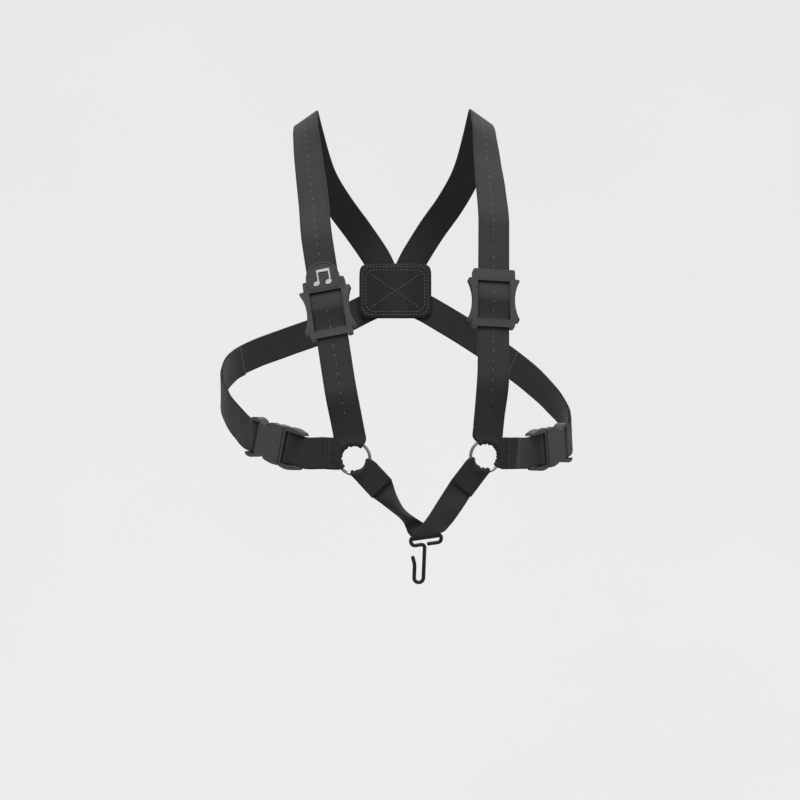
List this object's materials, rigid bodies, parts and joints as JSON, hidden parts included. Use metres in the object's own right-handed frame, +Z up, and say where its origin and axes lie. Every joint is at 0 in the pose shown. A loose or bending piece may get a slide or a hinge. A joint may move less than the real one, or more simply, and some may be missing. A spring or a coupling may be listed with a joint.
{
  "type": "saxophone harness strap",
  "caption": "Webbing shoulder harness for a saxophone: crossed shoulder straps with sliders, side straps with release clips, metal rings and a V strap that carries the hook.",
  "frame": {"origin": "middle point between the two places where the straps lie on the wearer's shoulders, at the straps' underside", "axes": "+Z up, +X towards the wearer's left, the front of the harness faces -Y"},
  "size_m": [0.3002, 0.242, 0.3967],
  "materials": {
    "webbing": "black woven webbing with one row of centre stitching",
    "patch_fabric": "black woven patch with a sewn edge",
    "moulded_plastic": "satin black moulded plastic",
    "ring_metal": "bright nickel plated wire",
    "hook_wire": "satin black coating on bent wire",
    "emblem_metal": "plain silver coloured musical sign"
  },
  "bodies": {
    "harness": {"shoulder_strap_right": "webbing", "adjuster_loop_right": "webbing", "back_strap_right": "webbing", "strap_end_right": "webbing", "strap_tail_right": "webbing", "side_strap_right": "webbing", "v_strap_anchor_right": "webbing", "clip_base_right": "moulded_plastic", "shoulder_strap_left": "webbing", "adjuster_loop_left": "webbing", "back_strap_left": "webbing", "strap_end_left": "webbing", "strap_tail_left": "webbing", "side_strap_left": "webbing", "v_strap_anchor_left": "webbing", "clip_base_left": "moulded_plastic", "back_patch_inner": "patch_fabric", "back_patch_outer": "patch_fabric"},
    "slider_right": {"slider_right": "moulded_plastic", "slider_emblem": "emblem_metal"},
    "ring_right": {"ring_right": "ring_metal"},
    "clip_right": {"clip_shell_right": "moulded_plastic"},
    "prong_right_upper": {"prong_right_upper": "moulded_plastic"},
    "prong_right_lower": {"prong_right_lower": "moulded_plastic"},
    "slider_left": {"slider_left": "moulded_plastic"},
    "ring_left": {"ring_left": "ring_metal"},
    "clip_left": {"clip_shell_left": "moulded_plastic"},
    "prong_left_upper": {"prong_left_upper": "moulded_plastic"},
    "prong_left_lower": {"prong_left_lower": "moulded_plastic"},
    "v_strap": {"v_strap": "webbing"},
    "hook": {"hook": "hook_wire"}
  },
  "joints": [
    {"name": "slider_right_slide", "type": "slide", "parent": "harness", "child": "slider_right", "axis": [-0.156, 0.301, 0.9408], "range_m": [-0.03, 0.035], "deforming": ["adjuster_loop_right"]},
    {"name": "ring_right_spin", "type": "hinge", "parent": "harness", "child": "ring_right", "pos_m": [-0.0323, -0.123, -0.2873], "axis": [-0.1315, -0.9905, -0.0411], "continuous": true},
    {"name": "clip_right_release", "type": "slide", "parent": "harness", "child": "clip_right", "axis": [-0.7716, 0.5935, 0.2289], "range_m": [0, 0.028], "deforming": ["strap_end_right", "strap_tail_right", "prong_right_upper", "prong_right_lower"]},
    {"name": "prong_right_lower_squeeze", "type": "hinge", "parent": "harness", "child": "prong_right_lower", "pos_m": [-0.09309, -0.09086, -0.28785], "axis": [0.6072, 0.7945, -0.0133], "range_deg": [0, 7], "stiffness_Nm_per_rad": 1.5},
    {"name": "prong_right_upper_squeeze", "type": "hinge", "parent": "harness", "child": "prong_right_upper", "pos_m": [-0.08918, -0.09351, -0.2678], "axis": [-0.6072, -0.7945, 0.0133], "range_deg": [0, 7], "stiffness_Nm_per_rad": 1.5},
    {"name": "slider_left_slide", "type": "slide", "parent": "harness", "child": "slider_left", "axis": [0.017, 0.2859, 0.9581], "range_m": [-0.03, 0.035], "deforming": ["adjuster_loop_left"]},
    {"name": "ring_left_spin", "type": "hinge", "parent": "harness", "child": "ring_left", "pos_m": [0.0726, -0.116, -0.2857], "axis": [0.3256, -0.9429, -0.0701], "continuous": true},
    {"name": "clip_left_release", "type": "slide", "parent": "harness", "child": "clip_left", "axis": [0.5961, 0.7915, 0.1347], "range_m": [0, 0.028], "deforming": ["strap_end_left", "strap_tail_left", "prong_left_upper", "prong_left_lower"]},
    {"name": "prong_left_upper_squeeze", "type": "hinge", "parent": "harness", "child": "prong_left_upper", "pos_m": [0.12317, -0.06399, -0.27045], "axis": [-0.799, 0.6014, 0.0023], "range_deg": [0, 7], "stiffness_Nm_per_rad": 1.5},
    {"name": "prong_left_lower_squeeze", "type": "hinge", "parent": "harness", "child": "prong_left_lower", "pos_m": [0.1248, -0.06175, -0.29086], "axis": [0.799, -0.6014, -0.0023], "range_deg": [0, 7], "stiffness_Nm_per_rad": 1.5},
    {"name": "v_strap_swing", "type": "hinge", "parent": "harness", "child": "v_strap", "pos_m": [0.0208, -0.1218, -0.303], "axis": [-0.9979, -0.0648, 0], "range_deg": [-3, 50], "deforming": ["v_strap_anchor_right", "v_strap_anchor_left"]},
    {"name": "hook_swing", "type": "hinge", "parent": "v_strap", "child": "hook", "pos_m": [0.0244, -0.128, -0.3482], "axis": [-0.9903, 0, -0.1392], "range_deg": [-40, 60]}
  ]
}
